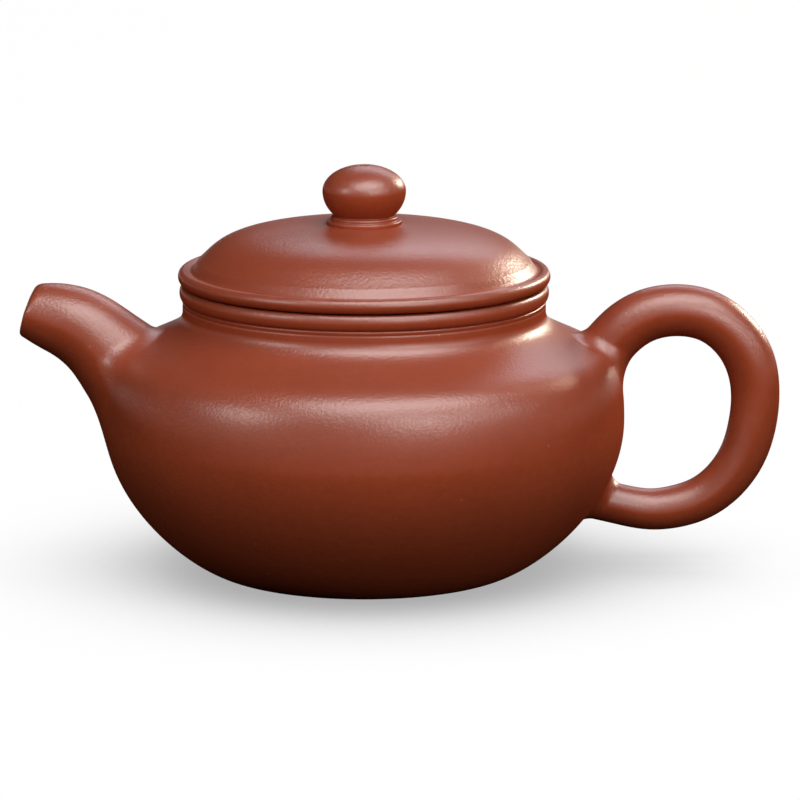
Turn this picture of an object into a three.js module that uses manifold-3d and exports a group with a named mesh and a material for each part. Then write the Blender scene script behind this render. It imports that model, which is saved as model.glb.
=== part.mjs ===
import * as THREE from 'three';
import { mergeVertices } from 'three/addons/utils/BufferGeometryUtils.js';
import Module from 'manifold-3d';

// A small red clay teapot, luted together from beaten and turned pieces.
// Millimetres, +Z up. The pot's axis is the Z axis and it stands on z = 0.
// The spout points to -X and the handle to +X.

// Body: a base disc, a beaten wall and a shoulder disc
const footRadius = 27.7;
const bellyRadius = 48;
const bellyHeight = 27.9;
const baseThickness = 3;
const wallThickness = 3;
const wallSeamRise = 10.1;
const shoulderRise = 14.85;
const footFlare = 5.4;
const footFlareRise = 1.5;
const bellyFullnessBelow = 15;
const bellyFullnessAbove = 11.6;
const shoulderSlopeRun = 5;
const shoulderSlopeDrop = 2.25;
const shoulderUnderRise = 1.5;

// Neck and mouth, standing on the shoulder
const mouthBoreRadius = 29.4;
const neckThickness = 4;
const coveWidth = 6.8;
const coveRise = 5.35;
const neckRise = 2.1;
const neckCordDepth = 0.3;
const neckCordHeight = 0.9;
const mouthBeadHeight = 2.8;
const mouthBeadBulge = 0.55;

// Lid: a bead ring, a domed plate on it and a seat flange under it
const lidSeatGap = 0.3;
const flangeClearance = 0.45;
const flangeDepth = 6.5;
const flangeThickness = 2.5;
const lidBeadOverhang = 0.25;
const lidBeadHeight = 2.55;
const lidBeadEdge = 1.05;
const lidSweepInset = 2.7;
const lidSweepRun = 2.3;
const lidSweepRise = 2.25;
const lidDomeRise = 6.25;
const lidDomeLean = 3;
const lidDomeBulge = 5.25;
const lidDomeCrown = 14.6;
const lidThickness = 3.4;

// Knob on its small turned neck, pierced by the air hole
const airHoleRadius = 0.85;
const knobRadius = 7.7;
const knobCrownRise = 4.87;
const knobWaistDrop = 6.4;
const knobNeckRadius = 5.65;
const knobNeckHeight = 1.5;
const knobFootRadius = 6.9;
const knobFootHeight = 0.7;

// Strainer: a pierced clay ball set in a hole through the wall behind the spout
const strainerRise = 2.4;
const strainerHoleRadius = 6;
const strainerThickness = 1.5;
const strainerPierceRadius = 0.85;
const strainerDomeDepth = 5.2;

// Spout: rim and root walls, and the rounded lip
const spoutTipWall = 1.7;
const spoutRootWall = 2.6;
const lipRound = 0.6;

// Joint left between a luted piece and the wall it is fixed to
const luteGap = 0.3;

// Facets round each kind of piece
const potFacets = 48;
const knobFacets = 30;
const spoutFacets = 20;
const handleFacets = 16;

// The spout rises this far above the belly's widest height. Its sections, from lip to
// root, are in shares of that: the top and bottom edge of each, as the distance out from
// the belly and up from its widest height, and its half width
const spoutRise = 25.1;
const spoutSections = [
  { top: [0.494, 0.994], bottom: [0.622, 0.624], halfWidth: 0.193 },
  { top: [0.359, 1], bottom: [0.486, 0.538], halfWidth: 0.235 },
  { top: [0.219, 0.985], bottom: [0.371, 0.472], halfWidth: 0.275 },
  { top: [0.096, 0.952], bottom: [0.287, 0.406], halfWidth: 0.299 },
  { top: [-0.008, 0.906], bottom: [0.215, 0.323], halfWidth: 0.319 },
  { top: [-0.1, 0.853], bottom: [0.155, 0.227], halfWidth: 0.339 },
  { top: [-0.183, 0.795], bottom: [0.112, 0.127], halfWidth: 0.363 },
  { top: [-0.259, 0.741], bottom: [0.068, 0.028], halfWidth: 0.394 },
  { top: [-0.335, 0.689], bottom: [0.028, -0.092], halfWidth: 0.43 },
  { top: [-0.418, 0.625], bottom: [-0.028, -0.255], halfWidth: 0.478 },
  { top: [-0.538, 0.538], bottom: [-0.179, -0.319], halfWidth: 0.498 },
];

// The middle of the handle reaches this far out from the belly. Its path, from the upper
// root round to the lower one, is in shares of that, with the clay's radius at each point
const handleReach = 24.3;
const handlePath = [
  { at: [-0.296, 0.379], radius: 0.23 },
  { at: [-0.165, 0.519], radius: 0.214 },
  { at: [-0.004, 0.687], radius: 0.2 },
  { at: [0.144, 0.78], radius: 0.199 },
  { at: [0.383, 0.827], radius: 0.198 },
  { at: [0.642, 0.776], radius: 0.194 },
  { at: [0.821, 0.642], radius: 0.191 },
  { at: [0.936, 0.469], radius: 0.191 },
  { at: [1, 0.193], radius: 0.185 },
  { at: [0.977, -0.066], radius: 0.182 },
  { at: [0.909, -0.28], radius: 0.177 },
  { at: [0.786, -0.473], radius: 0.171 },
  { at: [0.605, -0.621], radius: 0.165 },
  { at: [0.403, -0.693], radius: 0.163 },
  { at: [0.193, -0.714], radius: 0.157 },
  { at: [-0.045, -0.673], radius: 0.156 },
  { at: [-0.206, -0.638], radius: 0.177 },
  { at: [-0.391, -0.613], radius: 0.206 },
];

// Heights that follow from the sizes above
const wallTop = bellyHeight + wallSeamRise;
const shoulderHeight = bellyHeight + shoulderRise;
const neckBottom = shoulderHeight + coveRise;
const neckTop = neckBottom + neckRise;
const mouthTop = neckTop + mouthBeadHeight;
const lidSeat = mouthTop + lidSeatGap;
const lidBeadTop = lidSeat + lidBeadHeight;
const lidTop = lidBeadTop + lidSweepRise + lidDomeRise;
const knobSeat = lidTop + knobNeckHeight;
const neckRadius = mouthBoreRadius + neckThickness;
const shoulderRadius = neckRadius + coveWidth;
const mouthBeadRadius = neckRadius + mouthBeadBulge;
const lidBeadRadius = mouthBeadRadius + lidBeadOverhang;
const flangeRadius = mouthBoreRadius - flangeClearance;
const flangeBore = flangeRadius - flangeThickness;

const clay = (colour, roughness) =>
  new THREE.MeshStandardMaterial({ color: colour, roughness, metalness: 0 });
const point = (across, up) => new THREE.Vector2(across, up);
const bezier = (start, startHandle, endHandle, end, steps) =>
  new THREE.CubicBezierCurve(start, startHandle, endHandle, end).getPoints(steps);

// A round piece, turned from a section that runs up its outside and down its inside
function turned(section, facets) {
  return new THREE.LatheGeometry(section, facets).rotateX(Math.PI / 2);
}

// A hollow round piece: the section is closed on itself
function turnedRing(section, facets) {
  return turned([...section, section[0].clone()], facets);
}

// The part of a rising outline between two heights, with a point at each
function between(outline, low, high) {
  const radiusAt = (height) => {
    const above = outline.findIndex((p) => p.y >= height);
    if (above <= 0) return outline[0].x;
    const [a, b] = [outline[above - 1], outline[above]];
    return a.x + ((b.x - a.x) * (height - a.y)) / (b.y - a.y);
  };
  const inside = outline.filter((p) => p.y > low + 0.2 && p.y < high - 0.2);
  return [point(radiusAt(low), low), ...inside, point(radiusAt(high), high)];
}

// The same outline moved towards the inside of the clay by a wall's thickness
function inset(outline, thickness) {
  return outline.map((p, i) => {
    const before = outline[Math.max(i - 1, 0)];
    const after = outline[Math.min(i + 1, outline.length - 1)];
    const run = after.clone().sub(before).normalize();
    return point(p.x - run.y * thickness, p.y + run.x * thickness);
  });
}

// Every other point of an outline, enough for the inside of the clay
function thinned(outline) {
  return outline.filter((p, i) => i % 2 === 0 || i === outline.length - 1);
}

// The pot's outside from the foot to the shoulder's inner edge, and on up the cove
function bodyOutline() {
  const lower = bezier(
    point(footRadius, 0),
    point(footRadius + footFlare, footFlareRise),
    point(bellyRadius, bellyHeight - bellyFullnessBelow),
    point(bellyRadius, bellyHeight),
    9,
  );
  const upper = bezier(
    point(bellyRadius, bellyHeight),
    point(bellyRadius, bellyHeight + bellyFullnessAbove),
    point(shoulderRadius + shoulderSlopeRun, shoulderHeight - shoulderSlopeDrop),
    point(shoulderRadius, shoulderHeight),
    9,
  );
  return [...lower, ...upper.slice(1)];
}

function coveOutline() {
  return bezier(
    point(shoulderRadius, shoulderHeight),
    point(shoulderRadius - coveWidth * 0.6, shoulderHeight + coveRise * 0.34),
    point(neckRadius, neckBottom - coveRise * 0.44),
    point(neckRadius, neckBottom),
    5,
  );
}

function baseDisc() {
  const edge = between(bodyOutline(), 0, baseThickness);
  return turned([point(0, 0), ...edge, point(0, baseThickness)], potFacets);
}

function bodyWall() {
  const outside = between(bodyOutline(), baseThickness, wallTop);
  const lining = thinned(inset(bodyOutline(), wallThickness));
  const inside = between(lining, baseThickness, wallTop);
  return turnedRing([...outside, ...inside.reverse()], potFacets);
}

function shoulderDisc() {
  const outline = bodyOutline();
  const outside = between(outline, wallTop, shoulderHeight);
  const roof = thinned(inset(outline, wallThickness));
  const roofEnd = roof[roof.length - 1];
  const inside = between(roof, wallTop, roofEnd.y);
  const underside = point(mouthBoreRadius, shoulderHeight - wallThickness + shoulderUnderRise);
  const cove = coveOutline().slice(1);
  const boreTop = point(mouthBoreRadius, neckBottom);
  return turnedRing([...outside, ...cove, boreTop, underside, ...inside.reverse()], potFacets);
}

function neckRing() {
  const cordBottom = neckTop - neckCordHeight;
  return turnedRing(
    [
      point(mouthBoreRadius, neckBottom),
      point(neckRadius, neckBottom),
      point(neckRadius - neckCordDepth, cordBottom - neckCordDepth),
      point(neckRadius, cordBottom),
      point(neckRadius, neckTop - neckCordDepth),
      point(neckRadius - neckCordDepth, neckTop),
      point(mouthBoreRadius, neckTop),
    ],
    potFacets,
  );
}

function mouthBead() {
  const outside = beadEdge(neckRadius - neckCordDepth, mouthBeadRadius, neckTop, mouthTop);
  return turnedRing(
    [point(mouthBoreRadius, neckTop), ...outside, point(mouthBoreRadius, mouthTop)],
    potFacets,
  );
}

// A half-round bead between two heights, bulging from its root to its full radius
function beadEdge(rootRadius, fullRadius, low, high) {
  const middle = (low + high) / 2;
  const half = (high - low) / 2;
  const steps = 6;
  const edge = [];
  for (let i = 0; i <= steps; i += 1) {
    const turn = -Math.PI / 2 + (Math.PI * i) / steps;
    const across = rootRadius + (fullRadius - rootRadius) * Math.cos(turn);
    edge.push(point(across, middle + half * Math.sin(turn)));
  }
  return edge;
}

function lidFlange() {
  const low = lidSeat - flangeDepth;
  return turnedRing(
    [
      point(flangeBore + lipRound, low),
      point(flangeRadius - lipRound, low),
      point(flangeRadius, low + lipRound),
      point(flangeRadius, lidSeat),
      point(flangeBore, lidSeat),
      point(flangeBore, low + lipRound),
    ],
    potFacets,
  );
}

function lidBead() {
  const edge = beadEdge(lidBeadRadius - lidBeadEdge, lidBeadRadius, lidSeat, lidBeadTop);
  return turnedRing(
    [point(flangeBore, lidSeat), ...edge, point(flangeBore, lidBeadTop)],
    potFacets,
  );
}

// The lid's upper outline, from the sweep on the bead over the dome to its crown
function lidOutline() {
  const sweepStart = point(lidBeadRadius - lidSweepInset, lidBeadTop);
  const domeStart = point(sweepStart.x - lidSweepRun, lidBeadTop + lidSweepRise);
  const sweepMiddle = point(domeStart.x + lidSweepRun / 4, lidBeadTop + lidSweepRise / 4);
  const dome = bezier(
    domeStart,
    point(domeStart.x - lidDomeLean, domeStart.y + lidDomeBulge),
    point(lidDomeCrown, lidTop),
    point(0, lidTop),
    10,
  );
  return [sweepStart, sweepMiddle, ...dome];
}

function lidPlate() {
  const outline = lidOutline();
  const outside = outline.filter((p) => p.x > knobFootRadius + 1);
  const lining = thinned(inset(outline.slice(2), lidThickness));
  const roof = lining.filter((p) => p.x > knobFootRadius);
  const roofHeight = lidTop - lidThickness;
  const rimInside = point(roof[0].x, lidBeadTop);
  return turnedRing(
    [
      ...outside,
      point(knobFootRadius + 0.3, lidTop),
      point(airHoleRadius, lidTop),
      point(airHoleRadius, roofHeight),
      ...roof.reverse(),
      rimInside,
    ],
    potFacets,
  );
}

function knobNeck() {
  return turnedRing(
    [
      point(airHoleRadius, lidTop),
      point(knobFootRadius - 0.2, lidTop),
      point(knobFootRadius, lidTop + knobFootHeight / 2),
      point(knobFootRadius - 0.3, lidTop + knobFootHeight),
      point(knobNeckRadius, knobSeat),
      point(airHoleRadius, knobSeat),
    ],
    knobFacets,
  );
}

function knob() {
  const start = -Math.acos(knobNeckRadius / knobRadius);
  const centre = knobSeat - knobWaistDrop * Math.sin(start);
  const end = Math.acos((airHoleRadius + 0.5) / knobRadius);
  const steps = 10;
  const outside = [];
  for (let i = 0; i <= steps; i += 1) {
    const turn = start + ((end - start) * i) / steps;
    const reach = turn < 0 ? knobWaistDrop : knobCrownRise;
    outside.push(point(knobRadius * Math.cos(turn), centre + reach * Math.sin(turn)));
  }
  const holeTop = outside[steps].y - 0.4;
  return turnedRing(
    [point(airHoleRadius, knobSeat), ...outside, point(airHoleRadius, holeTop)],
    knobFacets,
  );
}

// A solid through oval sections, each with its centre and two half axes
function loft(sections, facets) {
  const positions = [];
  const index = [];
  for (const { centre, side, up } of sections) {
    for (let j = 0; j < facets; j += 1) {
      const turn = (2 * Math.PI * j) / facets;
      const p = centre.clone().addScaledVector(side, Math.cos(turn));
      p.addScaledVector(up, Math.sin(turn));
      positions.push(p.x, p.y, p.z);
    }
  }
  const last = sections.length - 1;
  const startCentre = positions.length / 3;
  positions.push(...sections[0].centre.toArray(), ...sections[last].centre.toArray());
  for (let j = 0; j < facets; j += 1) {
    const next = (j + 1) % facets;
    for (let i = 0; i < last; i += 1) {
      const [a, b] = [i * facets + j, i * facets + next];
      index.push(a, b, b + facets, a, b + facets, a + facets);
    }
    index.push(startCentre, next, j);
    index.push(startCentre + 1, last * facets + j, last * facets + next);
  }
  const geometry = new THREE.BufferGeometry();
  geometry.setAttribute('position', new THREE.Float32BufferAttribute(positions, 3));
  geometry.setIndex(index);
  return geometry;
}

const wasm = await Module();
wasm.setup();

function solid(geometry) {
  const bare = geometry.clone();
  bare.deleteAttribute('normal');
  bare.deleteAttribute('uv');
  const merged = mergeVertices(bare, 1e-4);
  return new wasm.Manifold(
    new wasm.Mesh({
      numProp: 3,
      vertProperties: new Float32Array(merged.attributes.position.array),
      triVerts: new Uint32Array(merged.index.array),
    }),
  );
}

function surface(body) {
  const mesh = body.getMesh();
  const geometry = new THREE.BufferGeometry();
  geometry.setAttribute('position', new THREE.BufferAttribute(mesh.vertProperties, 3));
  geometry.setIndex(new THREE.BufferAttribute(mesh.triVerts, 1));
  return geometry;
}

// All the room that the pot's body takes up, with the joint's gap round it
function bodyRoom() {
  const outline = [...bodyOutline(), ...coveOutline().slice(1)];
  const outside = inset(outline, -luteGap);
  const foot = outside[0];
  const rim = outside[outside.length - 1];
  return solid(turned([point(0, foot.y), ...outside, point(0, rim.y)], potFacets));
}

// Places beside the belly, in the plane of the spout and the handle
const beside = (direction, [out, up], size) =>
  new THREE.Vector3(direction * (bellyRadius + out * size), 0, bellyHeight + up * size);

function spoutOval(section, wall) {
  const top = beside(-1, section.top, spoutRise);
  const bottom = beside(-1, section.bottom, spoutRise);
  const up = top.clone().sub(bottom).multiplyScalar(0.5);
  up.setLength(up.length() - wall);
  const side = new THREE.Vector3(0, section.halfWidth * spoutRise - wall, 0);
  return { centre: top.add(bottom).multiplyScalar(0.5), side, up };
}

const spoutWallAt = (i) => THREE.MathUtils.lerp(spoutTipWall, spoutRootWall, Math.min(i / 6, 1));

function spout(room) {
  const ovals = spoutSections.map((section) => spoutOval(section, 0));
  const bores = spoutSections.map((section, i) => spoutOval(section, spoutWallAt(i)));
  const away = ovals[0].centre.clone().sub(ovals[1].centre).normalize();
  const lip = spoutOval(spoutSections[0], lipRound);
  ovals[0].centre.addScaledVector(away, -lipRound);
  const mouth = spoutOval(spoutSections[0], spoutTipWall - lipRound / 2);
  const past = { ...mouth, centre: mouth.centre.clone().addScaledVector(away, 1) };
  bores[0].centre.addScaledVector(away, -lipRound);
  const outside = solid(loft([lip, ...ovals], spoutFacets));
  const bore = solid(loft([past, mouth, ...bores], spoutFacets));
  return surface(outside.subtract(bore).subtract(room));
}

function handle(room) {
  const places = handlePath.map(({ at }) => beside(1, at, handleReach));
  const path = new THREE.CatmullRomCurve3(places, false, 'centripetal');
  const steps = 26;
  const across = new THREE.Vector3(0, 1, 0);
  const sections = [];
  for (let i = 0; i <= steps; i += 1) {
    const along = i / steps;
    const stretch = along * (handlePath.length - 1);
    const near = Math.min(Math.floor(stretch), handlePath.length - 2);
    const [a, b] = [handlePath[near].radius, handlePath[near + 1].radius];
    const radius = handleReach * THREE.MathUtils.lerp(a, b, stretch - near);
    const up = path.getTangent(along).cross(across).setLength(radius);
    const side = across.clone().setLength(radius);
    sections.push({ centre: path.getPoint(along), side, up });
  }
  return surface(solid(loft(sections, handleFacets)).subtract(room));
}

// A round tool lying along X, from one place to another, for piercing the clay
function drill(radius, from, to, facets) {
  const along = to.clone().sub(from);
  const geometry = new THREE.CylinderGeometry(radius, radius, along.length(), facets);
  const turn = new THREE.Quaternion();
  turn.setFromUnitVectors(new THREE.Vector3(0, 1, 0), along.clone().normalize());
  geometry.applyQuaternion(turn);
  const middle = from.clone().add(to).multiplyScalar(0.5);
  return solid(geometry.translate(middle.x, middle.y, middle.z));
}

const strainerHeight = bellyHeight + strainerRise;

function piercedWall() {
  const outside = new THREE.Vector3(-bellyRadius - wallThickness, 0, strainerHeight);
  const inside = new THREE.Vector3(-bellyRadius + 3 * wallThickness, 0, strainerHeight);
  const hole = drill(strainerHoleRadius, outside, inside, spoutFacets);
  return surface(solid(bodyWall()).subtract(hole));
}

// The strainer's skirt lies in the wall's hole and its dome bulges into the pot
function strainer() {
  const outer = strainerHoleRadius - luteGap;
  const inner = outer - strainerThickness;
  const skirt = wallThickness - 2 * luteGap;
  const dome = (radius, depth) =>
    [1, 2, 3, 4].map((i) => {
      const turn = (Math.PI / 2) * (i / 4);
      return point(radius * Math.cos(turn), skirt + depth * Math.sin(turn));
    });
  const outside = dome(outer, strainerDomeDepth);
  const hollow = dome(inner, strainerDomeDepth - strainerThickness).reverse();
  const section = [point(inner, 0), point(outer, 0), point(outer, skirt), ...outside];
  const cup = turned([...section, ...hollow, point(inner, skirt), point(inner, 0)], spoutFacets);
  let pierced = solid(cup);
  const focus = new THREE.Vector3(0, 0, skirt);
  const reach = strainerDomeDepth + outer;
  const pierce = (lean, round) => {
    const turn = new THREE.Vector3().setFromSphericalCoords(reach, lean, round);
    const to = new THREE.Vector3(turn.x, turn.z, turn.y + skirt);
    pierced = pierced.subtract(drill(strainerPierceRadius, focus, to, 6));
  };
  pierce(0, 0);
  for (let i = 0; i < 6; i += 1) pierce(0.62, (i * Math.PI) / 3);
  for (let i = 0; i < 10; i += 1) pierce(1.17, (i * Math.PI) / 5);
  const geometry = surface(pierced).rotateY(Math.PI / 2);
  return geometry.translate(-bellyRadius + 2 * luteGap, 0, strainerHeight);
}

const teapot = new THREE.Group();

function add(parent, name, geometry, material) {
  const mesh = new THREE.Mesh(geometry, material);
  mesh.name = name;
  parent.add(mesh);
}

const pot = new THREE.Group();
const lid = new THREE.Group();
teapot.add(pot, lid);

const room = bodyRoom();
add(pot, 'base_disc', baseDisc(), clay(0x7a3a28, 0.55));
add(pot, 'body_wall', piercedWall(), clay(0x8a4632, 0.45));
add(pot, 'shoulder_disc', shoulderDisc(), clay(0x96482f, 0.42));
add(pot, 'neck_ring', neckRing(), clay(0x8f4430, 0.45));
add(pot, 'mouth_bead', mouthBead(), clay(0x9a5440, 0.42));
add(pot, 'spout', spout(room), clay(0x90452f, 0.42));
add(pot, 'strainer', strainer(), clay(0x80402e, 0.6));
add(pot, 'handle', handle(room), clay(0x94482f, 0.42));
add(lid, 'lid_flange', lidFlange(), clay(0x80402e, 0.6));
add(lid, 'lid_bead', lidBead(), clay(0x9a5440, 0.42));
add(lid, 'lid_plate', lidPlate(), clay(0xa05a48, 0.4));
add(lid, 'knob_neck', knobNeck(), clay(0x8f4430, 0.45));
add(lid, 'knob', knob(), clay(0x944a35, 0.42));

export default teapot;
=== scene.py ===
import math

import bpy
import numpy as np
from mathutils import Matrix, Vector


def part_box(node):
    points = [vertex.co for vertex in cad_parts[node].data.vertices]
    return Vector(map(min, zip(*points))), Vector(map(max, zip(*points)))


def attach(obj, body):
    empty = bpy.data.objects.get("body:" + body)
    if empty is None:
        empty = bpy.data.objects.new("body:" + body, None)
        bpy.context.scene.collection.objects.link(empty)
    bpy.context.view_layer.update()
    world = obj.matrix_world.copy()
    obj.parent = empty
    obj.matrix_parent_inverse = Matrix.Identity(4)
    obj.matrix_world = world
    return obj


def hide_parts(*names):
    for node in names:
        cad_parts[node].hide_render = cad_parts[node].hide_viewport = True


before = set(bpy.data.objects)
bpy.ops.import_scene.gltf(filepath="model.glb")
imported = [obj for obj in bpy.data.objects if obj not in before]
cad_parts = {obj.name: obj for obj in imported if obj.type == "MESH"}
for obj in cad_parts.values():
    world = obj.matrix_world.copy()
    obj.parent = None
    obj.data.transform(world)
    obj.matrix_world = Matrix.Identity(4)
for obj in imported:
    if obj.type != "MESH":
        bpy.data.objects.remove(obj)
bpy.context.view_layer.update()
mm = 0.001
bpy.context.scene.view_settings.view_transform = "Standard"


# Camera, floor and light

view = {
    "elevation": 11.14,         # degrees above the horizon
    "distance": 900 * mm,
    "aim": (0, 0, 35 * mm),
    "pixelsPerMm": 5.42,        # at the aim point
    "aimPixel": (364.2, 379.5),
    "framePixels": 800,
    "sensorWidth": 36,          # millimetres
    "clip": (0.01, 50),
}


def makeCamera():
    lift = math.radians(view["elevation"])
    back = Vector((0, -math.cos(lift), math.sin(lift)))
    data = bpy.data.cameras.new("camera")
    cam = bpy.data.objects.new("camera", data)
    bpy.context.scene.collection.objects.link(cam)
    cam.location = Vector(view["aim"]) + back * view["distance"]
    cam.rotation_mode = "QUATERNION"
    cam.rotation_quaternion = (-back).to_track_quat("-Z", "Y")
    data.sensor_width = view["sensorWidth"]
    focalPixels = view["pixelsPerMm"] / mm * view["distance"]
    data.lens = focalPixels / view["framePixels"] * data.sensor_width
    middle = view["framePixels"] / 2
    data.shift_x = (middle - view["aimPixel"][0]) / view["framePixels"]
    data.shift_y = (view["aimPixel"][1] - middle) / view["framePixels"]
    data.clip_start, data.clip_end = view["clip"]
    bpy.context.scene.camera = cam


# direction from the pot, distance and size in metres, power in watts, colour
lamps = {
    "topSoft": ((0.16, -0.44, 0.88), 1.2, (1.4, 0.75), 11.6, (1, 0.98, 0.96)),
    "frontSoft": ((0.11, -0.82, 0.53), 1.2, (1, 0.3), 1.4, (1, 0.98, 0.96)),
    "leftWindow": ((-0.76, -0.53, 0.38), 1.2, (0.34, 0.32), 2.1, (1, 0.97, 0.95)),
    "rightWindow": ((0.421, -0.826, 0.29), 1.2, (0.6, 0.26), 2.9, (1, 0.97, 0.95)),
    "sideWindow": ((0.88, -0.47, 0.42), 1.2, (0.4, 0.3), 1, (1, 0.97, 0.95)),
    "lowSun": ((0.62, 0.714, 0.315), 1.6, (0.3, 0.3), 12.5, (1, 0.87, 0.7)),
    "skyBehind": ((0.18, 0.78, 0.59), 1.2, (0.75, 0.36), 2.3, (0.8, 0.9, 1)),
}


def makeLamp(name, towards, distance, size, power, colour):
    data = bpy.data.lights.new(name, "AREA")
    data.shape = "RECTANGLE"
    data.size, data.size_y = size
    data.energy = power
    data.color = colour
    lamp = bpy.data.objects.new(name, data)
    bpy.context.scene.collection.objects.link(lamp)
    way = Vector(towards).normalized()
    lamp.location = Vector(view["aim"]) + way * distance
    lamp.rotation_mode = "QUATERNION"
    lamp.rotation_quaternion = way.to_track_quat("Z", "Y")
    lamp.visible_camera = False


def mathNode(nodes, links, operation, *values):
    # a number is set on its socket, an output is linked to it
    node = nodes.new("ShaderNodeMath")
    node.operation = operation
    for socket, value in zip(node.inputs, values):
        if isinstance(value, (int, float)):
            socket.default_value = value
        else:
            links.new(value, socket)
    return node.outputs[0]


def bumpNode(nodes, links, height, distance):
    bump = nodes.new("ShaderNodeBump")
    bump.inputs["Strength"].default_value = 1
    bump.inputs["Distance"].default_value = distance
    links.new(height, bump.inputs["Height"])
    return bump.outputs["Normal"]


roomLight = {
    "above": (0.016, 0.017, 0.022),
    "below": (0.002, 0.002, 0.002),
    "paper": 0.02,              # what the floor gives back of the light
    "white": 0.98,              # how white it shows
    "floorReach": 3,            # metres each way
    "shadowReach": 45 * mm,     # of the soft shadow at the foot
    "shadowLevel": 0.42,
    "shadowSpan": (0.1, 0.95),
    "shadowSamples": 16,
}


def makeWorld():
    world = bpy.data.worlds.new("studio")
    bpy.context.scene.world = world
    world.use_nodes = True
    nodes, links = world.node_tree.nodes, world.node_tree.links
    nodes.clear()
    out = nodes.new("ShaderNodeOutputWorld")
    shade = nodes.new("ShaderNodeBackground")
    links.new(shade.outputs[0], out.inputs[0])
    place = nodes.new("ShaderNodeTexCoord")
    height = nodes.new("ShaderNodeSeparateXYZ")
    links.new(place.outputs["Generated"], height.inputs[0])
    ramp = nodes.new("ShaderNodeValToRGB")
    links.new(height.outputs["Z"], ramp.inputs[0])
    ramp.color_ramp.elements[0].color = (*roomLight["below"], 1)
    ramp.color_ramp.elements[1].color = (*roomLight["above"], 1)
    links.new(ramp.outputs[0], shade.inputs["Color"])


def floorMaterial():
    material = bpy.data.materials.new("paleFloor")
    material.use_nodes = True
    nodes, links = material.node_tree.nodes, material.node_tree.links
    nodes.clear()
    out = nodes.new("ShaderNodeOutputMaterial")
    paper = nodes.new("ShaderNodeBsdfDiffuse")
    grey = roomLight["paper"]
    paper.inputs["Color"].default_value = (grey, grey, grey, 1)
    glow = nodes.new("ShaderNodeEmission")
    both = nodes.new("ShaderNodeAddShader")
    links.new(paper.outputs[0], both.inputs[0])
    links.new(glow.outputs[0], both.inputs[1])
    links.new(both.outputs[0], out.inputs[0])

    # the soft shadow round the foot
    contact = nodes.new("ShaderNodeAmbientOcclusion")
    contact.samples = roomLight["shadowSamples"]
    contact.inputs["Distance"].default_value = roomLight["shadowReach"]
    level = nodes.new("ShaderNodeMapRange")
    level.interpolation_type = "SMOOTHSTEP"
    level.inputs["From Min"].default_value = roomLight["shadowSpan"][0]
    level.inputs["From Max"].default_value = roomLight["shadowSpan"][1]
    level.inputs["To Min"].default_value = roomLight["shadowLevel"]
    level.inputs["To Max"].default_value = roomLight["white"]
    links.new(contact.outputs["AO"], level.inputs["Value"])

    # white for what the camera, a reflection or a clear piece shows, and no light on the pot
    path = nodes.new("ShaderNodeLightPath")
    seen = mathNode(
        nodes, links, "MAXIMUM", path.outputs["Is Camera Ray"], path.outputs["Is Glossy Ray"])
    seen = mathNode(nodes, links, "MAXIMUM", seen, path.outputs["Is Transmission Ray"])
    shown = mathNode(nodes, links, "MULTIPLY", seen, level.outputs["Result"])
    links.new(shown, glow.inputs["Strength"])
    material.cycles.emission_sampling = "NONE"
    return material


def makeFloor():
    reach = roomLight["floorReach"]
    corners = [(-reach, -reach, 0), (reach, -reach, 0), (reach, reach, 0), (-reach, reach, 0)]
    mesh = bpy.data.meshes.new("floor")
    mesh.from_pydata(corners, [], [(0, 1, 2, 3)])
    floor = bpy.data.objects.new("floor", mesh)
    bpy.context.scene.collection.objects.link(floor)
    mesh.materials.append(floorMaterial())


# Clay

clayTexture = {
    # noise: scale per metre, detail, and how much finer it is along x, y and z
    "clouds": (55, 3, (1, 1, 1)),
    "fineClouds": (650, 4, (1, 1, 1)),
    "burnish": (140, 3, (1, 1, 2.5)),
    "ripple": (480, 2, (1, 1, 1.6)),
    "grain": (2100, 5, (1, 1, 1)),
    "mottleGain": 2,
    "fleckScale": 520,          # cells per metre
    "fleckRarity": 0.93,        # the share of cells with none
    "fleckSize": 0.16,          # the largest, in cells
    "burnishSpread": 0.1,       # of the roughness
    "rippleHeight": 0.00004,
    "grainHeight": 0.000034,
}


def newGroup(name, inputs, outputs):
    tree = bpy.data.node_groups.new(name, "ShaderNodeTree")
    for label, kind, value in inputs:
        socket = tree.interface.new_socket(label, in_out="INPUT", socket_type=kind)
        socket.default_value = value
    for label, kind in outputs:
        tree.interface.new_socket(label, in_out="OUTPUT", socket_type=kind)
    return tree, tree.nodes.new("NodeGroupInput"), tree.nodes.new("NodeGroupOutput")


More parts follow.
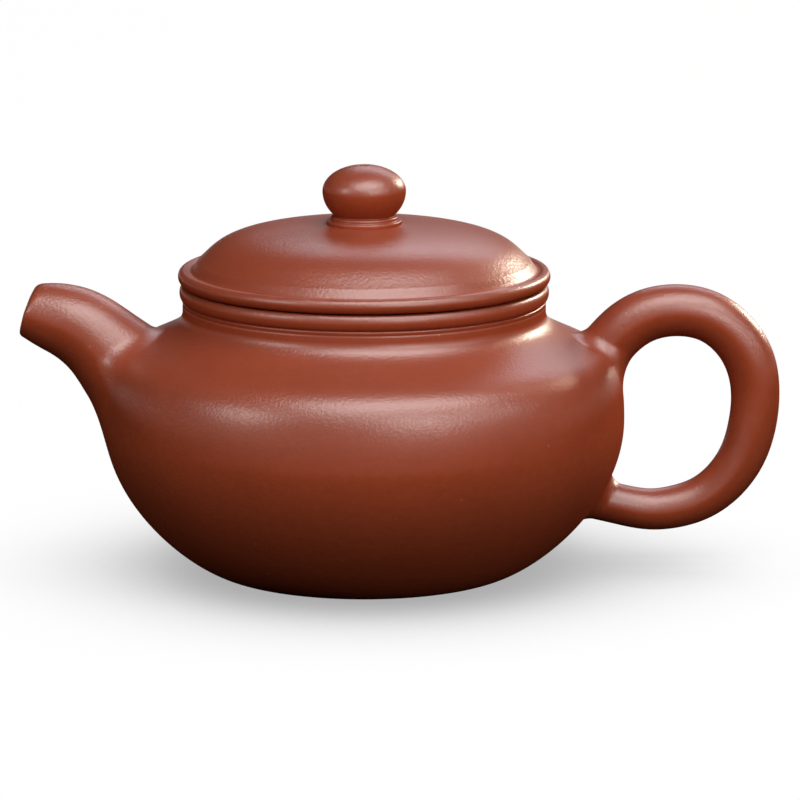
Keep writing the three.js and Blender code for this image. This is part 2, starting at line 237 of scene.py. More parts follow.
def firedClayGroup():
    # colour, roughness and height of fine fired clay, all by places on the piece
    number, colour = "NodeSocketFloat", "NodeSocketColor"
    tree, given, made = newGroup(
        "firedClay",
        [
            ("Clay", colour, (0.3, 0.08, 0.04, 1)),
            ("Flecks", colour, (0.6, 0.3, 0.18, 1)),
            ("Mottle", number, 0.12),
            ("Fleck Amount", number, 0.5),
            ("Roughness", number, 0.4),
            ("Ripple", number, 1),
            ("Grain", number, 1),
        ],
        [("Colour", colour), ("Roughness", number), ("Height", number)],
    )
    nodes, links = tree.nodes, tree.links
    texture = clayTexture
    place = nodes.new("ShaderNodeTexCoord")

    def noise(layer):
        scale, detail, stretch = texture[layer]
        size = nodes.new("ShaderNodeVectorMath")
        size.operation = "MULTIPLY"
        size.inputs[1].default_value = stretch
        links.new(place.outputs["Object"], size.inputs[0])
        cloud = nodes.new("ShaderNodeTexNoise")
        cloud.inputs["Scale"].default_value = scale
        cloud.inputs["Detail"].default_value = detail
        links.new(size.outputs[0], cloud.inputs["Vector"])
        return cloud.outputs["Fac"]

    def combine(operation, *values):
        return mathNode(nodes, links, operation, *values)

    def centred(value, share):
        return combine("MULTIPLY", combine("SUBTRACT", value, 0.5), share)

    # colour: broad and fine mottling, then rare flecks
    cloudy = combine("ADD", noise("clouds"), noise("fineClouds"))
    mottle = combine("MULTIPLY", combine("SUBTRACT", cloudy, 1), given.outputs["Mottle"])
    tone = combine("ADD", combine("MULTIPLY", mottle, texture["mottleGain"]), 1)
    toned = nodes.new("ShaderNodeVectorMath")
    toned.operation = "SCALE"
    links.new(given.outputs["Clay"], toned.inputs[0])
    links.new(tone, toned.inputs["Scale"])
    cells = nodes.new("ShaderNodeTexVoronoi")
    cells.inputs["Scale"].default_value = texture["fleckScale"]
    links.new(place.outputs["Object"], cells.inputs["Vector"])
    pick = nodes.new("ShaderNodeSeparateColor")
    links.new(cells.outputs["Color"], pick.inputs[0])
    rare = combine("GREATER_THAN", pick.outputs[0], texture["fleckRarity"])
    size = combine("MULTIPLY", pick.outputs[1], texture["fleckSize"])
    near = combine("LESS_THAN", cells.outputs["Distance"], size)
    fleck = combine("MULTIPLY", combine("MULTIPLY", rare, near), given.outputs["Fleck Amount"])
    mixed = nodes.new("ShaderNodeMix")
    mixed.data_type = "RGBA"
    links.new(fleck, mixed.inputs["Factor"])
    links.new(toned.outputs[0], mixed.inputs["A"])
    links.new(given.outputs["Flecks"], mixed.inputs["B"])
    links.new(mixed.outputs["Result"], made.inputs["Colour"])

    # roughness: slightly uneven burnishing
    uneven = centred(noise("burnish"), texture["burnishSpread"])
    links.new(combine("ADD", given.outputs["Roughness"], uneven), made.inputs["Roughness"])

    # height in metres: a soft ripple from the burnishing and a fine grain
    ripple = centred(noise("ripple"), texture["rippleHeight"])
    grain = centred(noise("grain"), texture["grainHeight"])
    ripple = combine("MULTIPLY", ripple, given.outputs["Ripple"])
    grain = combine("MULTIPLY", grain, given.outputs["Grain"])
    links.new(combine("ADD", ripple, grain), made.inputs["Height"])
    return tree


clayGroup = firedClayGroup()

burnishedLook = {
    "clay": {
        "Clay": (0.35, 0.063, 0.0245, 1),
        "Flecks": (0.55, 0.27, 0.16, 1),
        "Mottle": 0.1,
        "Fleck Amount": 0.3,
        "Roughness": 0.37,
        "Ripple": 1,
        "Grain": 1,
    },
    "specular": 0,
    "polish": {
        "ior": 2.12,
        "roughness": 0.37,
        "fade": (-0.13, 0.36),      # from dull to polished, by how far a place faces up; the dull underside is painted shade
        "turnedAway": 0.3,          # how much thinner it is where the surface turns away
        "marksPerMetre": 1800,
        "marksDetail": 4,
        "marksHeight": 0.00008,
    },
}
bareLook = {
    "clay": {
        "Clay": (0.3, 0.085, 0.045, 1),
        "Flecks": (0.5, 0.27, 0.17, 1),
        "Mottle": 0.16,
        "Fleck Amount": 0.6,
        "Roughness": 0.62,
        "Ripple": 1.6,
        "Grain": 2.2,
    },
    "specular": 0.35,
}


def polishClay(nodes, links, shade, polish):
    # the burnished skin: full on what faces up, thinned on what faces down or turns away, so it
    # is dull underneath; the thinning is painted shade that keeps the floor's reflection off the
    # underside
    shade.inputs["Coat IOR"].default_value = polish["ior"]
    shade.inputs["Coat Roughness"].default_value = polish["roughness"]
    place = nodes.new("ShaderNodeTexCoord")
    upward = nodes.new("ShaderNodeSeparateXYZ")
    links.new(place.outputs["Normal"], upward.inputs[0])
    facing = nodes.new("ShaderNodeLayerWeight")
    # painted shade: the gloss thins where a place faces down or turns away, so the underside
    # shows no reflection
    facingUpShade = mathNode(
        nodes, links, "MULTIPLY_ADD",
        facing.outputs["Facing"], -polish["turnedAway"], upward.outputs["Z"])
    fade = nodes.new("ShaderNodeMapRange")
    fade.interpolation_type = "SMOOTHSTEP"
    fade.inputs["From Min"].default_value = polish["fade"][0]
    fade.inputs["From Max"].default_value = polish["fade"][1]
    links.new(facingUpShade, fade.inputs["Value"])
    links.new(fade.outputs["Result"], shade.inputs["Coat Weight"])

    # the marks of the burnishing tool, in the skin alone
    marks = nodes.new("ShaderNodeTexNoise")
    marks.inputs["Scale"].default_value = polish["marksPerMetre"]
    marks.inputs["Detail"].default_value = polish["marksDetail"]
    links.new(place.outputs["Object"], marks.inputs["Vector"])
    relief = bumpNode(nodes, links, marks.outputs["Fac"], polish["marksHeight"])
    links.new(relief, shade.inputs["Coat Normal"])


def clayMaterial(name, look):
    material = bpy.data.materials.new(name)
    material.use_nodes = True
    nodes, links = material.node_tree.nodes, material.node_tree.links
    nodes.clear()
    out = nodes.new("ShaderNodeOutputMaterial")
    shade = nodes.new("ShaderNodeBsdfPrincipled")
    links.new(shade.outputs[0], out.inputs[0])
    clay = nodes.new("ShaderNodeGroup")
    clay.node_tree = clayGroup
    for label, value in look["clay"].items():
        clay.inputs[label].default_value = value
    links.new(clay.outputs["Colour"], shade.inputs["Base Color"])
    links.new(clay.outputs["Roughness"], shade.inputs["Roughness"])
    links.new(bumpNode(nodes, links, clay.outputs["Height"], 1), shade.inputs["Normal"])
    shade.inputs["Specular IOR Level"].default_value = look["specular"]
    if "polish" in look:
        polishClay(nodes, links, shade, look["polish"])
    return material


burnishedClay = clayMaterial("burnishedClay", burnishedLook)
bareClay = clayMaterial("bareClay", bareLook)
print("clay mixed")


# Outlines: lists of (radius, height) in metres

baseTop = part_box("base_disc")[1].z
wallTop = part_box("body_wall")[1].z
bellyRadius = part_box("body_wall")[1].y
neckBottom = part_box("neck_ring")[0].z
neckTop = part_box("neck_ring")[1].z
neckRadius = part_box("neck_ring")[1].y
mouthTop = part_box("mouth_bead")[1].z
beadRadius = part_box("mouth_bead")[1].y
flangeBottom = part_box("lid_flange")[0].z
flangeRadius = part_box("lid_flange")[1].y
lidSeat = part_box("lid_bead")[0].z
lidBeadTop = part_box("lid_bead")[1].z
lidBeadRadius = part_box("lid_bead")[1].y
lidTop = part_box("lid_plate")[1].z
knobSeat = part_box("knob")[0].z
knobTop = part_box("knob")[1].z
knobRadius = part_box("knob")[1].y

potSizes = {
    "footRadius": 27.7 * mm,
    "footFlare": 5.4 * mm,
    "footFlareRise": 1.5 * mm,
    "bellyHeight": 27.9 * mm,
    "fullnessBelow": 15 * mm,
    "fullnessAbove": 11.6 * mm,
    "shoulderRise": 14.85 * mm,
    "slopeRun": 5 * mm,
    "slopeDrop": 2.25 * mm,
    "coveWidth": 6.8 * mm,
    "coveRise": 5.35 * mm,
    "coveLead": 0.6,            # of its width, from the shoulder
    "coveLift": (0.34, 0.44),   # of its rise, at the shoulder and under the neck
    "wall": 3 * mm,
    "underRise": 1.5 * mm,      # of the shoulder's underside towards the mouth
    "bore": 29.4 * mm,
    "curvePoints": (120, 110, 50),
}
insideStep = 3                  # an inside takes every third point of the curve outside it
sameHeight = 0.02 * mm          # closer points than this count as one


def bezier(a, b, c, d, count):
    t = np.linspace(0, 1, count)[:, None]
    a, b, c, d = (np.array(p, float) for p in (a, b, c, d))
    return (1 - t) ** 3 * a + 3 * (1 - t) ** 2 * t * b + 3 * (1 - t) * t * t * c + t ** 3 * d


def bodyOutline():
    s = potSizes
    lowerPoints, upperPoints, covePoints = s["curvePoints"]
    shoulder = (neckRadius + s["coveWidth"], s["bellyHeight"] + s["shoulderRise"])
    lower = bezier(
        (s["footRadius"], 0),
        (s["footRadius"] + s["footFlare"], s["footFlareRise"]),
        (bellyRadius, s["bellyHeight"] - s["fullnessBelow"]),
        (bellyRadius, s["bellyHeight"]), lowerPoints)
    upper = bezier(
        (bellyRadius, s["bellyHeight"]),
        (bellyRadius, s["bellyHeight"] + s["fullnessAbove"]),
        (shoulder[0] + s["slopeRun"], shoulder[1] - s["slopeDrop"]),
        shoulder, upperPoints)
    start = shoulder[0] - s["coveWidth"] * s["coveLead"]
    cove = bezier(
        shoulder,
        (start, shoulder[1] + s["coveRise"] * s["coveLift"][0]),
        (neckRadius, neckBottom - s["coveRise"] * s["coveLift"][1]),
        (neckRadius, neckBottom), covePoints)
    return np.vstack([lower, upper[1:], cove[1:]])


outline = bodyOutline()


def inset(line, depth):
    run = np.gradient(line, axis=0)
    run /= np.linalg.norm(run, axis=1)[:, None]
    return line + depth * np.stack([-run[:, 1], run[:, 0]], 1)


def radiusAt(line, height):
    return float(np.interp(height, line[:, 1], line[:, 0]))


def between(line, low, high):
    inside = line[(line[:, 1] > low + sameHeight) & (line[:, 1] < high - sameHeight)]
    ends = [(radiusAt(line, low), low), (radiusAt(line, high), high)]
    return np.vstack([ends[:1], inside, ends[1:]])


def rounded(points, radii, steps=5):
    # a closed outline with its corners eased, each by its own radius
    out = []
    count = len(points)
    for i, radius in enumerate(radii):
        p = np.array(points[i], float)
        before = np.array(points[i - 1], float)
        after = np.array(points[(i + 1) % count], float)
        if radius <= 0:
            out.append(tuple(p))
            continue
        a, b = before - p, after - p
        # an ease takes less than half of either side
        ease = min(radius, 0.45 * np.linalg.norm(a), 0.45 * np.linalg.norm(b))
        start = p + a / np.linalg.norm(a) * ease
        end = p + b / np.linalg.norm(b) * ease
        for k in range(steps + 1):
            t = k / steps
            out.append(tuple((1 - t) ** 2 * start + 2 * t * (1 - t) * p + t * t * end))
    return out


def outsideBody(p, depth=0):
    # how far a place is outside the body's radius at its height
    radius = np.interp(p[..., 2], outline[:, 1], outline[:, 0])
    return np.hypot(p[..., 0], p[..., 1]) - radius + depth


# Meshes

meshing = {
    "crease": 32,               # degrees past which an edge stays sharp
    "latheFacets": 256,
    "onAxis": 1e-7,             # smaller radii are points on the axis
    "underside": -0.5,          # upward part of a normal below which a lid face is bare
}


def insidePot(side):
    return float(outsideBody(np.array(side.center))) < -potSizes["wall"] / 2


def underLid(side):
    radius = math.hypot(side.center.x, side.center.y)
    return side.normal.z < meshing["underside"] or radius < lidSizes["airHole"] * 1.01


def makePiece(name, points, faces, body, nodes, material=burnishedClay, bareWhere=None):
    made = bpy.data.meshes.new(name)
    made.from_pydata([tuple(p) for p in points], [], faces)
    made.validate()
    made.shade_smooth()
    made.set_sharp_from_angle(angle=math.radians(meshing["crease"]))
    piece = bpy.data.objects.new(name, made)
    bpy.context.scene.collection.objects.link(piece)
    made.materials.append(material)
    if bareWhere:
        made.materials.append(bareClay)
        for side in made.polygons:
            side.material_index = int(bareWhere(side))
    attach(piece, body)
    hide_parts(*nodes)


def turned(section, facets=meshing["latheFacets"]):
    # a solid of revolution: the section runs up its outside, and a radius of 0 is on the axis
    section = [tuple(p) for p in section]
    points, rows = [], []
    for radius, height in section:
        if radius < meshing["onAxis"]:
            rows.append([len(points)])
            points.append((0, 0, height))
            continue
        rows.append(list(range(len(points), len(points) + facets)))
        for j in range(facets):
            turn = 2 * math.pi * j / facets
            points.append((radius * math.cos(turn), radius * math.sin(turn), height))
    closed = rows[1:] if len(rows[0]) == 1 else rows[1:] + rows[:1]
    faces = []
    for low, high in zip(rows, closed):
        for j in range(facets):
            k = (j + 1) % facets
            if len(low) == 1:
                faces.append((low[0], high[k], high[j]))
            elif len(high) == 1:
                faces.append((low[j], low[k], high[0]))
            else:
                faces.append((low[j], low[k], high[k], high[j]))
    return points, faces


baseSizes = {
    "recess": (24.5 * mm, 0.5 * mm),    # radius and depth
    "recessFloor": 1.2 * mm,            # how far its flat floor stops short of its edge
    "recessBend": 0.4,                  # of its depth, at its edge
    "recessRim": 0.8 * mm,
    "footFlat": 0.3 * mm,               # how far the flat stops short of the foot's radius
    "footEdge": (0.05 * mm, 0.03 * mm),
    "footClear": 0.12 * mm,             # height at which the wall's curve takes over
}


def makeBase():
    b = baseSizes
    radius, depth = b["recess"]
    foot = potSizes["footRadius"]
    section = [
        (0, depth),
        (radius - b["recessFloor"], depth),
        (radius, depth * b["recessBend"]),
        (radius + b["recessRim"], 0),
        (foot - b["footFlat"], 0),
        (foot + b["footEdge"][0], b["footEdge"][1]),
    ]
    section += [tuple(p) for p in between(outline, 0, baseTop) if p[1] > b["footClear"]]
    section.append((0, baseTop))
    makePiece("baseDisc", *turned(section), "pot", ["base_disc"], bareWhere=insidePot)


wallHole = {
    "radius": 6 * mm,
    "height": 30.3 * mm,
    "reach": (2 * mm, 6 * mm),  # of the drill, out of the belly and into it
    "facets": 64,
}


def temporary(name, points, faces):
    data = bpy.data.meshes.new(name)
    data.from_pydata([tuple(p) for p in points], [], faces)
    made = bpy.data.objects.new(name, data)
    bpy.context.scene.collection.objects.link(made)
    return made


def drilled(points, faces):
    # the same solid with the round hole behind the spout, at -X
    radius, count = wallHole["radius"], wallHole["facets"]
    outer, inner = wallHole["reach"]
    drill = []
    for x in (-bellyRadius - outer, -bellyRadius + inner):
        for i in range(count):
            turn = 2 * math.pi * i / count
            up = wallHole["height"] + radius * math.sin(turn)
            drill.append((x, -radius * math.cos(turn), up))
    around = [(i, i + count, (i + 1) % count + count, (i + 1) % count) for i in range(count)]
    around += [tuple(range(count)), tuple(range(2 * count - 1, count - 1, -1))]
    solid, tool = temporary("solid", points, faces), temporary("drill", drill, around)
    cut = solid.modifiers.new("cut", "BOOLEAN")
    cut.object, cut.operation, cut.solver = tool, "DIFFERENCE", "EXACT"
    bpy.context.view_layer.update()
    left = solid.evaluated_get(bpy.context.evaluated_depsgraph_get()).to_mesh()
    places = [tuple(v.co) for v in left.vertices]
    sides = [tuple(p.vertices) for p in left.polygons]
    for made in (solid, tool):
        bpy.data.objects.remove(made)
    return places, sides


def makeWall():
    outside = between(outline, baseTop, wallTop)
    inside = between(inset(outline, potSizes["wall"])[::insideStep], baseTop, wallTop)
    points, faces = drilled(*turned(list(outside) + list(inside[::-1])))
    makePiece("bodyWall", points, faces, "pot", ["body_wall"], bareWhere=insidePot)


def makeShoulder():
    bore, wall = potSizes["bore"], potSizes["wall"]
    outside = between(outline, wallTop, neckBottom)
    height = potSizes["bellyHeight"] + potSizes["shoulderRise"]
    roof = inset(outline[outline[:, 1] <= height + 1e-9], wall)
    inside = between(roof[::insideStep], wallTop, float(roof[-1, 1]))
    underside = (bore, height - wall + potSizes["underRise"])
    section = list(outside) + [(bore, neckBottom), underside] + list(inside[::-1])
    makePiece("shoulderDisc", *turned(section), "pot", ["shoulder_disc"], bareWhere=insidePot)


neckSizes = {
    "cordDepth": 0.08 * mm,
    "cordHeight": 0.85 * mm,    # below the neck's top
    "cordHalf": 0.3 * mm,
    "chamfer": 0.25 * mm,
    "eases": [v * mm for v in (0, 0, 0.15, 0.15, 0.15, 0.1, 0, 0)],
}


def makeNeck():
    s, bore = neckSizes, potSizes["bore"]
    cord = neckTop - s["cordHeight"]
    points = [
        (bore, neckBottom),
        (neckRadius, neckBottom),
        (neckRadius, cord - s["cordHalf"]),
        (neckRadius - s["cordDepth"], cord),
        (neckRadius, cord + s["cordHalf"]),
        (neckRadius, neckTop - s["chamfer"]),
        (neckRadius - s["chamfer"], neckTop),
        (bore, neckTop),
    ]
    section = rounded(points, s["eases"])
    makePiece("neckRing", *turned(section), "pot", ["neck_ring"], bareWhere=insidePot)


def beadEdge(rootRadius, fullRadius, low, high, steps=32, power=2.05):
    # a bead about half round
    middle, half = (low + high) / 2, (high - low) / 2
    edge = []
    for i in range(steps + 1):
        turn = -math.pi / 2 + math.pi * i / steps
        across = abs(math.cos(turn)) ** (2 / power)
        up = math.copysign(abs(math.sin(turn)) ** (2 / power), turn)
        edge.append((rootRadius + (fullRadius - rootRadius) * across, middle + half * up))
    return edge


def makeMouth():
    bore = potSizes["bore"]
    section = beadEdge(neckRadius - neckSizes["chamfer"], beadRadius, neckTop, mouthTop)
    section += [(bore, mouthTop), (bore, neckTop)]
    makePiece("mouthBead", *turned(section), "pot", ["mouth_bead"], bareWhere=insidePot)


# Lid

lidSizes = {
    "flangeWall": 2.5 * mm,
    "flangeEase": 0.7 * mm,
    "crest": 33.15 * mm,        # of the bead
    "crestEase": 0.45 * mm,
    "valley": (32.05 * mm, 55.55 * mm),
    "valleyEase": (0.4 * mm, 0.5 * mm),     # towards the crest and the dome
    "domeFoot": (30.52 * mm, 57.36 * mm),
    "footEase": 0.5 * mm,
    "domeLean": (3.8 * mm, 3.37 * mm),
    "domeCrown": 25.98 * mm,
    "domeTop": lidTop - 0.2 * mm,
    "curvePoints": (10, 24, 120),   # of the dip, the sweep and the dome
    "wall": 3.4 * mm,
    "airHole": 0.85 * mm,
    "seat": 6.95 * mm,          # radius of the flat that the knob stands on
    "seatEdge": 0.1 * mm,
}
flangeBore = flangeRadius - lidSizes["flangeWall"]


def lidSweep():
    # up from the valley inside the bead to the foot of the dome
    valley, foot, ease = lidSizes["valley"], lidSizes["domeFoot"], lidSizes["footEase"]
    return bezier(
        valley,
        (valley[0] - lidSizes["valleyEase"][1], valley[1]),
        (foot[0] + ease, foot[1] - ease),
        foot, lidSizes["curvePoints"][1])


def lidSeam():
    # where the bead ends and the plate begins
    sweep = lidSweep()
    return float(np.interp(lidBeadTop, sweep[:, 1], sweep[:, 0])), lidBeadTop


def makeLidFlange():
    points = [
        (flangeBore, flangeBottom), (flangeRadius, flangeBottom),
        (flangeRadius, lidSeat), (flangeBore, lidSeat),
    ]
    section = rounded(points, [lidSizes["flangeEase"], lidSizes["flangeEase"], 0, 0])
    makePiece("lidFlange", *turned(section), "lid", ["lid_flange"], bareClay)


def makeLidBead():
    crest, valley = (lidSizes["crest"], lidBeadTop), lidSizes["valley"]
    dip = bezier(
        crest,
        (crest[0] - lidSizes["crestEase"], crest[1]),
        (valley[0] + lidSizes["valleyEase"][0], valley[1]),
        valley, lidSizes["curvePoints"][0])
    section = beadEdge(lidSizes["crest"], lidBeadRadius, lidSeat, lidBeadTop)
    section += [tuple(p) for p in dip[1:-1]]
    section += [tuple(p) for p in lidSweep() if p[1] < lidBeadTop - sameHeight]
    section += [lidSeam(), (flangeBore, lidBeadTop), (flangeBore, lidSeat)]
    makePiece("lidBead", *turned(section), "lid", ["lid_bead"])


def makeLidPlate():
    s = lidSizes
    foot, top, hole, seat = s["domeFoot"], s["domeTop"], s["airHole"], s["seat"]
    dome = bezier(
        foot,
        (foot[0] - s["domeLean"][0], foot[1] + s["domeLean"][1]),
        (s["domeCrown"], top),
        (0, top), s["curvePoints"][2])
    roof = [tuple(p) for p in inset(dome, s["wall"])[::insideStep] if p[0] > seat]
    section = [lidSeam()]
    section += [tuple(p) for p in lidSweep() if p[1] > lidBeadTop + sameHeight]
    section += [tuple(p) for p in dome[1:] if p[0] > seat]
    section += [(seat - s["seatEdge"], top), (hole, top), (hole, top - s["wall"])]
    section += roof[::-1] + [(roof[0][0], lidBeadTop)]
    makePiece("lidPlate", *turned(section), "lid", ["lid_plate"], bareWhere=underLid)


knobFoot = {
    "lowerStep": (6.9 * mm, 0.75 * mm),     # radius, and height above the dome
    "upperStep": (6.15 * mm, 1.38 * mm),
    "crease": (5.6 * mm, 0.12 * mm),        # radius, and height under the knob
    "eases": [v * mm for v in (0, 0.02, 0.3, 0.16, 0.25, 0.2, 0, 0)],
    "facets": 160,
}


def makeKnobNeck():
    # two small round steps, then the crease under the knob
    hole, top = lidSizes["airHole"], lidSizes["domeTop"]
    lower, upper, crease = knobFoot["lowerStep"], knobFoot["upperStep"], knobFoot["crease"]
    points = [
        (hole, top), (lower[0], top), (lower[0], top + lower[1]),
        (upper[0], top + lower[1]), (upper[0], top + upper[1]),
        (crease[0], knobSeat - crease[1]), (crease[0], knobSeat), (hole, knobSeat),
    ]
    section = rounded(points, knobFoot["eases"])
    makePiece("knobNeck", *turned(section, knobFoot["facets"]), "lid", ["knob_neck"])


knobSizes = {
    "drop": 6.4 * mm,           # of the half below its widest place
    "rim": 0.3 * mm,            # how far the curve stops short of the air hole
    "rimEase": (0.08 * mm, 0.05 * mm),
    "clear": 0.01 * mm,
    "steps": 90,
    "facets": 192,
}


def makeKnob():
    # fuller below its widest place than above it
    s, hole = knobSizes, lidSizes["airHole"]
    start = -math.acos(knobFoot["crease"][0] / knobRadius)
    end = math.acos((hole + s["rim"]) / knobRadius)
    middle = knobSeat - s["drop"] * math.sin(start)
    crown = (knobTop - s["clear"] - middle) / math.sin(end)
    section = []
    for i in range(s["steps"] + 1):
        turn = start + (end - start) * i / s["steps"]
        rise = s["drop"] if turn < 0 else crown
        section.append((knobRadius * math.cos(turn), middle + rise * math.sin(turn)))
    rimTop = section[-1][1]
    section += [
        (hole + s["rimEase"][0], rimTop - s["rimEase"][1]),
        (hole, rimTop - s["rim"]),
        (hole, knobSeat),
    ]
    makePiece("knob", *turned(section, s["facets"]), "lid", ["knob"])


# Spout and handle: drawn-out clay whose roots spread onto the body

tuckDepth = 0.12 * mm           # how far a root's edge goes under the body's skin


def smoothThrough(points, count):
    # a natural cubic spline through rows of numbers, spaced by their first two
    points = np.array(points, float)
    gaps = np.linalg.norm(np.diff(points[:, :2], axis=0), axis=1)
    knots = np.concatenate([[0], np.cumsum(gaps)])
    n = len(points)
    system = np.eye(n)
    right = np.zeros_like(points)
    h = np.diff(knots)
    for i in range(1, n - 1):
        system[i, i - 1:i + 2] = h[i - 1], 2 * (h[i - 1] + h[i]), h[i]
        ahead, behind = (points[i + 1] - points[i]) / h[i], (points[i] - points[i - 1]) / h[i - 1]
        right[i] = 6 * (ahead - behind)
    bend = np.linalg.solve(system, right)
    at = np.linspace(0, knots[-1], count)
    k = np.clip(np.searchsorted(knots, at, side="right") - 1, 0, n - 2)
    a = ((knots[k + 1] - at) / h[k])[:, None]
    b = 1 - a
    w = (h[k] ** 2 / 6)[:, None]
    curved = ((a ** 3 - a) * bend[k] + (b ** 3 - b) * bend[k + 1]) * w
    return a * points[k] + b * points[k + 1] + curved


def bodyNormal(p):
    step = 0.05 * mm
    high = np.interp(p[..., 2] + step, outline[:, 1], outline[:, 0])
    low = np.interp(p[..., 2] - step, outline[:, 1], outline[:, 0])
    slope = (high - low) / (2 * step)
    around = np.hypot(p[..., 0], p[..., 1])
    return np.stack([p[..., 0] / around, p[..., 1] / around, -slope], -1)


def ontoBody(p, depth=0):
    for _ in range(6):
        n = bodyNormal(p)
        p = p - (outsideBody(p, depth) / (n ** 2).sum(-1))[..., None] * n
    return p


def unit(v):
    return v / np.linalg.norm(v, axis=-1)[..., None]


def lengthsAlong(line):
    gaps = np.linalg.norm(np.diff(line, axis=0), axis=1)
    return np.concatenate([[0], np.cumsum(gaps)])


def alongLine(line, count, start, end):
    # a line of places, spaced evenly between two lengths along it
    at = lengthsAlong(line)
    want = np.linspace(start, end, count)
    return np.stack([np.interp(want, at, line[:, i]) for i in range(3)], 1)


def meeting(line):
    # the length along a line at which it enters the body
    over, at = outsideBody(line), lengthsAlong(line)
    k = int(np.argmax(over < 0))
    share = over[k - 1] / (over[k - 1] - over[k])
    return at[k - 1] + share * (at[k] - at[k - 1])


def rooted(line, outward, shaftRows, rootRows, back, spread):
    # one line of a limb from its free end to the body, then spread onto the body
    hit = meeting(line)
    shaft = alongLine(line, shaftRows, 0, hit - back)
    touch = alongLine(line, 2, hit, hit)[0]
    n = unit(bodyNormal(touch))
    away = outward - n * (outward @ n)
    away /= np.linalg.norm(away)
    rest = ontoBody(touch + away * spread)
    restNormal = unit(bodyNormal(rest))
    run = rest - touch
    run -= restNormal * (run @ restNormal)
    run /= np.linalg.norm(run)
    lead = unit(shaft[-1] - alongLine(line, 2, hit - back - 0.2 * mm, hit - back)[0])
    size = np.linalg.norm(rest - shaft[-1])
    t = np.linspace(0, 1, rootRows + 1)[1:, None]
    fillet = (
        (2 * t ** 3 - 3 * t ** 2 + 1) * shaft[-1] + (t ** 3 - 2 * t ** 2 + t) * size * lead
        + (3 * t ** 2 - 2 * t ** 3) * rest + (t ** 3 - t ** 2) * size * run)
    tuck = ontoBody(rest + run * 0.5 * mm, tuckDepth)
    return np.vstack([shaft, fillet, tuck[None]])


def gridFaces(rows, columns):
    faces = []
    for i in range(rows - 1):
        for j in range(columns):
            k = (j + 1) % columns
            a = i * columns
            faces.append((a + j, a + k, a + columns + k, a + columns + j))
    return faces


spoutSizes = {
    # from the tip inwards, in millimetres: out of the belly, and above its widest place
    "top": [
        (12.4, 24.95), (9, 25.1), (5.5, 24.73), (2.4, 23.9), (-0.2, 22.75),
        (-2.5, 21.4), (-4.6, 19.95), (-6.5, 18.6), (-8.4, 17.3), (-12, 14.8)],
    "bottom": [
        (15.57, 15.65), (12.2, 13.5), (9.3, 11.85), (7.2, 10.2), (5.4, 8.1),
        (3.6, 5.2), (1.5, 1.6), (-1, -3), (-3.5, -7.5), (-8, -14)],
    "halfWidth": [4.85, 5.9, 6.9, 7.5, 8, 8.5, 9.1, 9.9, 10.8, 12],
    "railPoints": 200,
    "tipWall": 1.7 * mm,
    "rootWall": 2.6 * mm,
    "thickening": 1.6,          # the wall is at its full thickness after 1 / 1.6 of the rails
    "lip": 0.7 * mm,            # rounding at the bottom of the opening
    "lipAbove": 0.55 * mm,      # how much rounder it is at the top
    "lipSteps": 9,
    "innerLip": 0.3 * mm,
    "mouthSwell": 0.34 * mm,    # of the opening's sides past its top and bottom
    "swellPoints": 40,
    "rootFrom": -60,            # the rail point that gives the root its direction
    "rootBack": (4.6, 1.9, 2.6),    # millimetres at the sides, more below, less above
    "rootSpread": (5, 4, 3.2),
    "shaftRows": 44,
    "rootRows": 26,
    "boreRows": 40,
    "frontRows": 52,            # of the bore and the lip, kept in every column
    "facets": 128,
}


def spoutColumn(turn, centre, tall, wide, wall, up, away):
    # one line of the skin: out along the bore, round the lip and back to the body
    s = spoutSizes
    sideways, upwards = math.cos(turn) * np.array([0, 1, 0]), math.sin(turn)
    outer = centre + wide[:, None] * sideways + (tall * upwards)[:, None] * up
    inner = centre + (wide - wall)[:, None] * sideways
    inner = inner + ((tall - wall) * upwards)[:, None] * up
    fading = np.clip(1 - np.arange(len(centre)) / s["swellPoints"], 0, 1) ** 2
    swell = s["mouthSwell"] * math.cos(turn) ** 2 * fading
    outer, inner = outer + swell[:, None] * away, inner + swell[:, None] * away
    outward = unit(sideways + upwards * up[s["rootFrom"]])
    under, over = max(0, -upwards), max(0, upwards)
    back, spread = s["rootBack"], s["rootSpread"]
    back = (back[0] + back[1] * under - back[2] * over) * mm
    spread = (spread[0] + spread[1] * under ** 2 - spread[2] * over) * mm
    outside = rooted(outer, outward, s["shaftRows"], s["rootRows"], back, spread)

    # the lip: its outer corner eased from the skin to the opening's flat edge
    lip = s["lip"] + s["lipAbove"] * over
    radial = unit(outer[0] - centre[0])
    start = int(np.argmax(np.linalg.norm(outside - outside[0], axis=1) > lip))
    skin, face = outside[start], outer[0] - radial * lip
    t = np.linspace(0, 1, s["lipSteps"])[1:-1, None]
    corner = (1 - t) ** 2 * face + 2 * t * (1 - t) * outer[0] + t * t * skin
    innerLip = inner[0] + radial * s["innerLip"]
    innerBack = inner[0] - away * s["innerLip"]
    bore = alongLine(inner, s["boreRows"], s["innerLip"], meeting(inner))
    bore[-1] = ontoBody(bore[-1], tuckDepth)
    return np.vstack([
        bore[::-1], innerBack[None], innerLip[None], face[None], corner, outside[start:]])


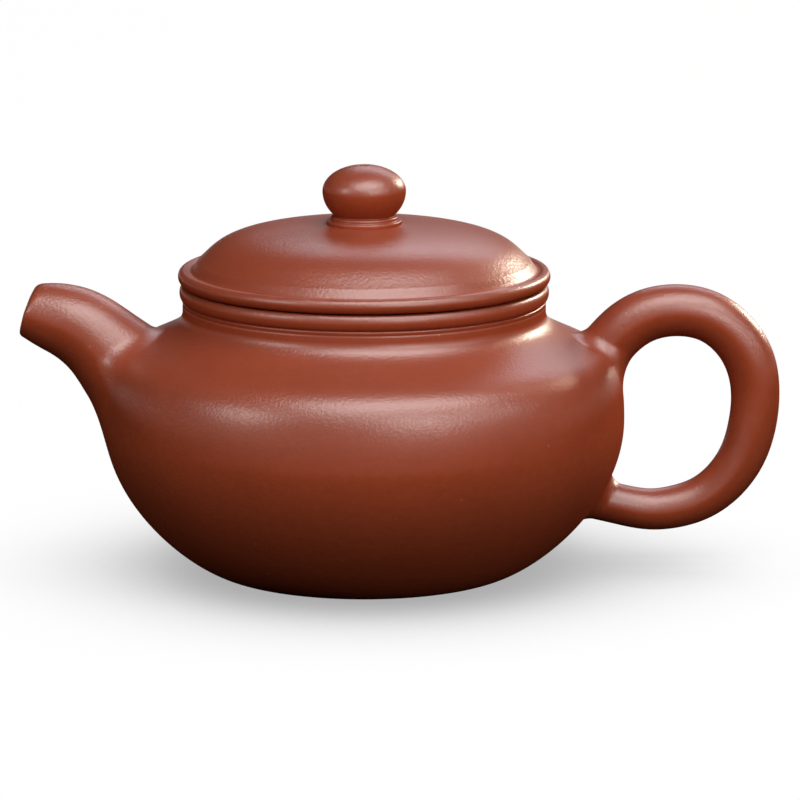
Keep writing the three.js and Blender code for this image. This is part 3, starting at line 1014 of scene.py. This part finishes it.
def makeSpout():
    s = spoutSizes
    rails = np.hstack([s["top"], s["bottom"], np.array(s["halfWidth"])[:, None]])
    rails = smoothThrough(rails, s["railPoints"]) * mm
    level, height = 0 * rails[:, 0], potSizes["bellyHeight"]
    top = np.stack([-(bellyRadius + rails[:, 0]), level, height + rails[:, 1]], 1)
    bottom = np.stack([-(bellyRadius + rails[:, 2]), level, height + rails[:, 3]], 1)
    centre, half = (top + bottom) / 2, (top - bottom) / 2
    tall = np.linalg.norm(half, axis=1)
    up = half / tall[:, None]
    share = np.clip(np.linspace(0, s["thickening"], len(rails)), 0, 1)
    wall = s["tipWall"] + (s["rootWall"] - s["tipWall"]) * share
    away = unit(centre[0] - centre[1])
    facets = s["facets"]
    columns = [
        spoutColumn(2 * math.pi * j / facets, centre, tall, rails[:, 4], wall, up, away)
        for j in range(facets)]

    # a rounder lip has fewer rows of skin behind it: the longer columns leave some out there
    front = s["frontRows"]
    length = min(len(c) for c in columns)
    columns = [np.vstack([c[:front], c[len(c) - (length - front):]]) for c in columns]
    grid = np.stack(columns, 1)
    rows = grid.shape[0]
    faces = gridFaces(rows, facets)
    last = (rows - 1) * facets
    faces += [(last + j, last + (j + 1) % facets, (j + 1) % facets, j) for j in range(facets)]
    makePiece("spout", grid.reshape(-1, 3), faces, "pot", ["spout"])


handleSizes = {
    # from the upper root round to the lower one, in millimetres as for the spout
    "path": [
        (-9, 7.6), (-4, 12.6), (-0.1, 16.7), (3.5, 18.95), (9.3, 20.1), (15.6, 18.85),
        (19.95, 15.6), (22.75, 11.4), (24.17, 4.7), (23.65, -1.6), (22.1, -6.8), (19.1, -11.5),
        (14.7, -15.1), (9.8, -16.85), (4.7, -17.35), (-1.1, -16.35), (-5, -15.5), (-10, -14.4)],
    "radius": [
        4.85, 4.85, 4.85, 4.83, 4.8, 4.72, 4.65, 4.65, 4.48, 4.42, 4.3, 4.15,
        4.02, 3.95, 3.82, 3.75, 3.7, 3.7],
    "pathPoints": 420,
    "rootFrom": 12,             # the path point, from either end, that gives a root its direction
    "upperBack": (2.6, 1.8),    # millimetres, and more inside the ring
    "upperSpread": (2.4, 1.8),
    "lowerBack": (2.4, 0.6),
    "lowerSpread": (2.2, 0.4),
    "shaftRows": 70,
    "rootRows": 18,
    "plug": 0.6 * mm,           # depth of the closed ends under the body's skin
    "facets": 96,
}


def makeHandle():
    h = handleSizes
    line = np.hstack([h["path"], np.array(h["radius"])[:, None]])
    line = smoothThrough(line, h["pathPoints"]) * mm
    height = potSizes["bellyHeight"] + line[:, 1]
    centre = np.stack([bellyRadius + line[:, 0], 0 * line[:, 0], height], 1)
    across = np.array([0, 1, 0])
    up = np.cross(unit(np.gradient(centre, axis=0)), across)
    facets, middle = h["facets"], len(centre) // 2

    def root(half, outward, end, within):
        back, spread = h[end + "Back"], h[end + "Spread"]
        back, spread = (back[0] + back[1] * within) * mm, (spread[0] + spread[1] * within) * mm
        return rooted(half, outward, h["shaftRows"], h["rootRows"], back, spread)

    columns = []
    for j in range(facets):
        turn = 2 * math.pi * j / facets
        outwards = math.cos(turn) * across + math.sin(turn) * up
        skin = centre + line[:, 2:3] * outwards
        within = max(0, -math.sin(turn))
        upper = root(skin[middle::-1], outwards[h["rootFrom"]], "upper", within)
        lower = root(skin[middle:], outwards[-h["rootFrom"]], "lower", within)
        columns.append(np.vstack([upper[::-1], lower[1:]]))
    grid = np.stack(columns, 1)
    rows = grid.shape[0]
    points = list(grid.reshape(-1, 3))
    faces = gridFaces(rows, facets)
    for row, flip in ((0, True), (rows - 1, False)):
        points.append(ontoBody(grid[row].mean(axis=0), h["plug"]))
        hub = len(points) - 1
        for j in range(facets):
            a, b = row * facets + j, row * facets + (j + 1) % facets
            faces.append((b, a, hub) if flip else (a, b, hub))
    makePiece("handle", points, faces, "pot", ["handle"])


def finishStrainer():
    # hidden behind the spout: the solid stays, in bare clay
    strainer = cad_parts["strainer"]
    strainer.data.materials.clear()
    strainer.data.materials.append(bareClay)


makeCamera()
for name, values in lamps.items():
    makeLamp(name, *values)
makeWorld()
makeFloor()
print("camera, light and stage made")
makeBase()
makeWall()
makeShoulder()
makeNeck()
makeMouth()
print("pot turned")
makeLidFlange()
makeLidBead()
makeLidPlate()
makeKnobNeck()
makeKnob()
print("lid turned")
makeSpout()
makeHandle()
finishStrainer()
print("spout, handle and strainer made")
